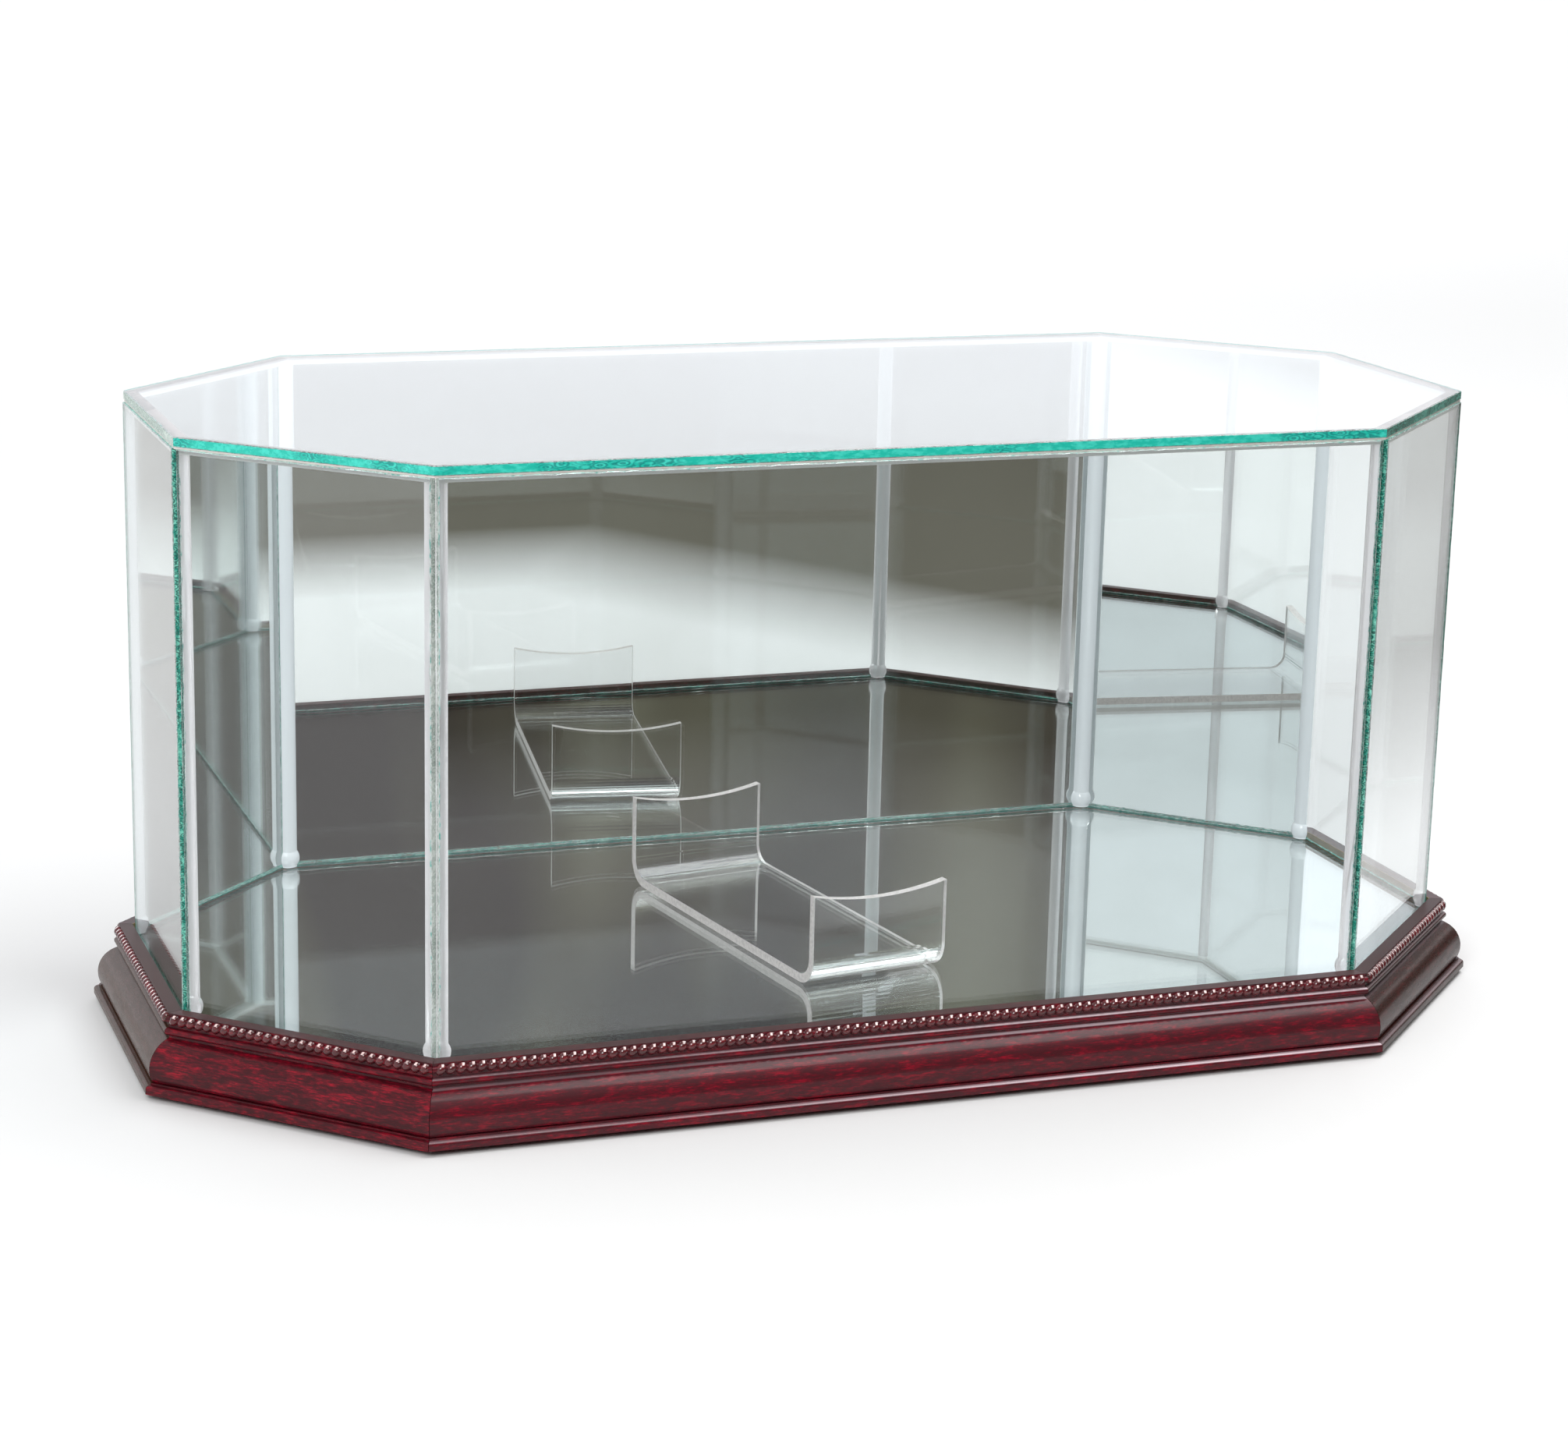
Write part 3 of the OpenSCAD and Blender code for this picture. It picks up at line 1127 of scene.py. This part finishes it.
@dataclass
class AcrylicCradle:
    """The cradle: one acrylic strip, bent up at both ends, with scraped saw cuts for edges."""

    plan: Plan
    width: float = 48.5 * MM
    depth: float = 130 * MM
    height: float = 30.5 * MM
    thick: float = 3 * MM
    bend: float = 9 * MM
    dip: float = 2.8 * MM
    turn: float = math.radians(9)
    middle: Range = (-7.2 * MM, -3.8 * MM)
    lift: float = 0.05 * MM
    across: int = 24
    steps: int = 10
    close: float = 0.01 * MM
    acrylic: ClearSolid = ClearSolid("acrylic", (0.985, 0.99, 0.99), 1.49)
    # The sawn edges glow a little: painted light that makes them bright.
    sawn: ShadedCoat = ShadedCoat(
        "sawn_acrylic", (0.98, 0.93, 0.91), (900, 900, 900), 3.0, 0.6, shades=(0.75, 1.0), roughness=0.3,
        relief=0.3, clear=0.12, ior=1.49, glow=0.16,
    )

    def strip(self) -> Shape:
        """Bends the strip's outer face out of one grid, by extruding and spinning its last row.

        Returns:
            The open sheet in the cradle's own frame, standing on height zero.
        """
        sheet = bmesh.new()
        tall = self.height - self.bend
        bmesh.ops.create_grid(sheet, x_segments=self.across, y_segments=1, size=0.5)
        bmesh.ops.scale(sheet, verts=sheet.verts[:], vec=(self.width, tall, 1))
        bmesh.ops.rotate(sheet, verts=sheet.verts[:], matrix=Matrix.Rotation(QUARTER, 3, "X"))
        bmesh.ops.translate(sheet, verts=sheet.verts[:], vec=(0, -self.depth / 2, self.bend + tall / 2))
        row = [edge for edge in sheet.edges if all(abs(v.co.z - self.bend) < self.close for v in edge.verts)]
        row = self.curve(sheet, row, (0, -self.depth / 2 + self.bend, self.bend))
        row = self.drag(sheet, row, (0, self.depth - 2 * self.bend, 0))
        row = self.curve(sheet, row, (0, self.depth / 2 - self.bend, self.bend))
        self.drag(sheet, row, (0, 0, tall))
        radius = ((self.width / 2) ** 2 + self.dip ** 2) / (2 * self.dip)
        for vert in sheet.verts:
            if vert.co.z > self.height - self.close:
                vert.co.z = self.height - self.dip + radius - math.sqrt(radius ** 2 - vert.co.x ** 2)
        return sheet

    def curve(self, sheet: Shape, row: Edges, centre: Triple) -> Edges:
        """Spins a row of edges a quarter turn about a bend's axis.

        Args:
            sheet: The open sheet.
            row: The edges.
            centre: A point on the axis.

        Returns:
            The last row.
        """
        made = bmesh.ops.spin(
            sheet, geom=row, cent=centre, axis=(1, 0, 0), angle=QUARTER, steps=self.steps, use_duplicate=False
        )
        return [item for item in made["geom_last"] if isinstance(item, bmesh.types.BMEdge)]

    def drag(self, sheet: Shape, row: Edges, way: Triple) -> Edges:
        """Extrudes a row of edges along a way.

        Args:
            sheet: The open sheet.
            row: The edges.
            way: How far to go.

        Returns:
            The new row.
        """
        made = bmesh.ops.extrude_edge_only(sheet, edges=row)
        verts = [item for item in made["geom"] if isinstance(item, bmesh.types.BMVert)]
        bmesh.ops.translate(sheet, verts=verts, vec=way)
        inner = set(verts)
        return [edge for edge in sheet.edges if edge.verts[0] in inner and edge.verts[1] in inner]

    def build(self) -> None:
        """Builds the cradle."""
        shape = self.strip()
        bmesh.ops.recalc_face_normals(shape, faces=shape.faces[:])
        if sum(face.normal.z * face.calc_area() for face in shape.faces) > 0:
            bmesh.ops.reverse_faces(shape, faces=shape.faces[:])
        bmesh.ops.solidify(shape, geom=shape.faces[:], thickness=self.thick)
        bmesh.ops.recalc_face_normals(shape, faces=shape.faces[:])
        at = Matrix.Translation((*self.middle, self.plan.mirror_high + self.lift))
        for face in shape.faces:
            side = abs(face.normal.x) > FACES
            top = face.normal.z > 0.8 and face.calc_center_median().z > self.height / 2
            face.material_index = 1 if side or top else 0
        shape.transform(at @ Matrix.Rotation(self.turn, 4, "Z"))
        looks = [self.acrylic.material(), self.sawn.material()]
        put_piece("cradle_bent", shape, looks, Body.CRADLE, ("cradle",))
        LOG.info("acrylic cradle")


# ---- stage
@dataclass(frozen=True)
class SoftLamp:
    """A soft rectangular lamp: its place, the point it faces, its width and height, and its watts."""

    name: str
    at: Triple
    towards: Triple
    size: Range
    power: float

    def hang(self) -> None:
        """Hangs the lamp."""
        data = bpy.data.lights.new(self.name, "AREA")
        data.shape = "RECTANGLE"
        data.size, data.size_y = self.size
        data.energy = self.power
        lamp = add_object(self.name, data)
        lamp.location = self.at
        lamp.rotation_euler = (Vector(self.towards) - Vector(self.at)).to_track_quat("-Z", "Y").to_euler()


@dataclass
class Studio:
    """The pale floor, the soft lights and the camera."""

    floor_half: float = 14.0
    floor_colour: Triple = (0.74, 0.74, 0.74)
    # The colour of the floor's painted shade out of shot.
    floor_shade_colour: Triple = (0.085, 0.076, 0.056)
    sky_colour: Triple = (0.80, 0.80, 0.80)
    backdrop_colour: Triple = (1.30, 1.34, 1.40)
    left_colour: Triple = (0.90, 0.93, 0.96)
    flag_colour: Triple = (0.105, 0.088, 0.075)
    half_view: float = 0.2187
    pale_right: float = 0.29
    pale_front: float = -0.42
    fade: float = 0.16
    glow_from: float = 0.25
    glow_to: float = 2.2
    glow: float = 0.42
    behind: Range = (-0.05, 0.35)
    above: Range = (0.45, 0.75)
    left: Range = (-0.55, -0.8)
    right: Range = (0.60, 0.80)
    streak_scale: Triple = (13.0, 13.0, 2.0)
    room_stops: tuple[tuple[float, Triple], ...] = (
        (0.38, (0.035, 0.025, 0.024)), (0.50, (0.12, 0.105, 0.075)), (0.62, (0.24, 0.225, 0.17)),
        (0.70, (0.50, 0.56, 0.56)),
    )
    lamps: tuple[SoftLamp, ...] = (
        SoftLamp("top_softbox", (0.60, -0.1, 1.4), (0, 0, 0.05), (1.5, 0.7), 16.0),
        SoftLamp("side_strip", (1.5, 0.55, 0.40), (0.2, -0.1, 0.02), (0.9, 0.12), 0.8),
        SoftLamp("key_spot", (-0.75, -1.0, 1.0), (0, 0, 0.05), (0.5, 0.5), 5.0),
        SoftLamp("front_softbox", (-1.0, -1.4, 1.1), (0, 0, 0.05), (0.8, 0.6), 12.5),
    )
    lens: float = 81.0
    sensor: float = 36.0
    clip: Range = (0.05, 60.0)
    eye: Triple = (-0.3939, -1.0692, 0.3829)
    heading: float = 0.3477
    tilt_down: float = 0.2495
    roll: float = 0.0232
    bounces: int = 20
    glossy_bounces: int = 12
    see_through_bounces: int = 32

    def floor(self) -> None:
        """Lays the floor."""
        shape = bmesh.new()
        bmesh.ops.create_grid(shape, x_segments=8, y_segments=8, size=self.floor_half)
        ground = add_mesh("studio_floor", shape, [self.floor_finish()])

    def floor_finish(self) -> Look:
        """A pale floor with painted shade out of shot, dark where the mirrors show it, so that they have a
        darker room to show.

        Returns:
            The floor's material.
        """
        sheet = Sheet("studio_floor")
        own = sheet.add("SeparateXYZ", {0: sheet.place(-self.heading - self.half_view)})
        aside = sheet.span(own.outputs["X"], self.pale_right, self.pale_right + self.fade)
        depth = sheet.add("SeparateXYZ", {0: sheet.place()}).outputs["Y"]
        ahead = sheet.span(depth, self.pale_front, self.pale_front - self.fade)
        # Out of shot the floor takes a dark colour: painted shade.
        colour = sheet.mix(sheet.maths("MAXIMUM", aside, ahead), self.floor_colour, self.floor_shade_colour)
        glow = sheet.span(depth, self.glow_from, self.glow_to, 0.0, self.glow)
        return sheet.finish(sheet.surface(
            Base_Color=colour, Roughness=0.7, Emission_Color=(1, 1, 1), Emission_Strength=glow,
        ))

    def world(self) -> None:
        """Lights the surroundings: bright behind and above, dim on the camera's side."""
        world = bpy.data.worlds.new("studio")
        bpy.context.scene.world = world
        world.use_nodes = True
        sky = Sheet.of_world(world)
        way = sky.add("TexCoord").outputs["Generated"]
        axes = sky.add("SeparateXYZ", {0: way})
        away = sky.add("VectorMath", {0: way, 1: (math.sin(self.heading), math.cos(self.heading), 0)},
                       operation="DOT_PRODUCT").outputs["Value"]
        behind = sky.span(away, *self.behind)
        above = sky.span(axes.outputs["Z"], *self.above)
        left = sky.span(axes.outputs["X"], *self.left)
        streaks = sky.add("Mapping", {"Vector": way, "Scale": self.streak_scale}).outputs[0]
        room = sky.ramp(sky.noise(streaks, 2.0, 0.5), list(self.room_stops))
        right = sky.span(axes.outputs["X"], *self.right)
        low = sky.mix(behind, room, self.backdrop_colour)
        low = sky.mix(right, low, self.flag_colour)
        low = sky.mix(left, low, self.left_colour)
        lit = sky.mix(above, low, self.sky_colour)
        sky.add("OutputWorld", {"Surface": sky.add("Background", {"Color": lit, "Strength": 1.0}).outputs[0]})

    def camera(self) -> None:
        """Sets up the camera."""
        data = bpy.data.cameras.new("camera")
        data.lens = self.lens
        data.sensor_width = self.sensor
        data.clip_start, data.clip_end = self.clip
        forward = Vector((
            math.sin(self.heading) * math.cos(self.tilt_down),
            math.cos(self.heading) * math.cos(self.tilt_down),
            -math.sin(self.tilt_down),
        ))
        right = Vector((math.cos(self.heading), -math.sin(self.heading), 0))
        up = right.cross(forward)
        turned_right = math.cos(self.roll) * right + math.sin(self.roll) * up
        turned_up = -math.sin(self.roll) * right + math.cos(self.roll) * up
        turn = Matrix((turned_right, turned_up, -forward)).transposed()
        camera = add_object("camera", data)
        camera.matrix_world = Matrix.Translation(self.eye) @ turn.to_4x4()
        bpy.context.scene.camera = camera

    def build(self) -> None:
        """Sets the stage."""
        self.floor()
        self.world()
        for lamp in self.lamps:
            lamp.hang()
        self.camera()
        scene = bpy.context.scene
        scene.view_settings.view_transform = "Standard"
        cycles = scene.cycles
        cycles.max_bounces = self.bounces
        cycles.transmission_bounces = self.bounces
        cycles.glossy_bounces = self.glossy_bounces
        cycles.transparent_max_bounces = self.see_through_bounces
        cycles.caustics_reflective = False
        cycles.caustics_refractive = False
        LOG.info("studio")


def main() -> None:
    """Builds the case and its stage."""
    plan = Plan.from_frame()
    finishes = MirrorFinishes.make()
    Moulding(plan).build()
    FloorMirror(plan).build(finishes)
    BaseUnderside().build()
    GlassCover(plan).build(finishes)
    Seams(plan).build()
    AcrylicCradle(plan).build()
    Studio().build()


if __name__ == "__main__":
    logging.basicConfig(level=logging.INFO, format="%(name)s: %(message)s")
    main()
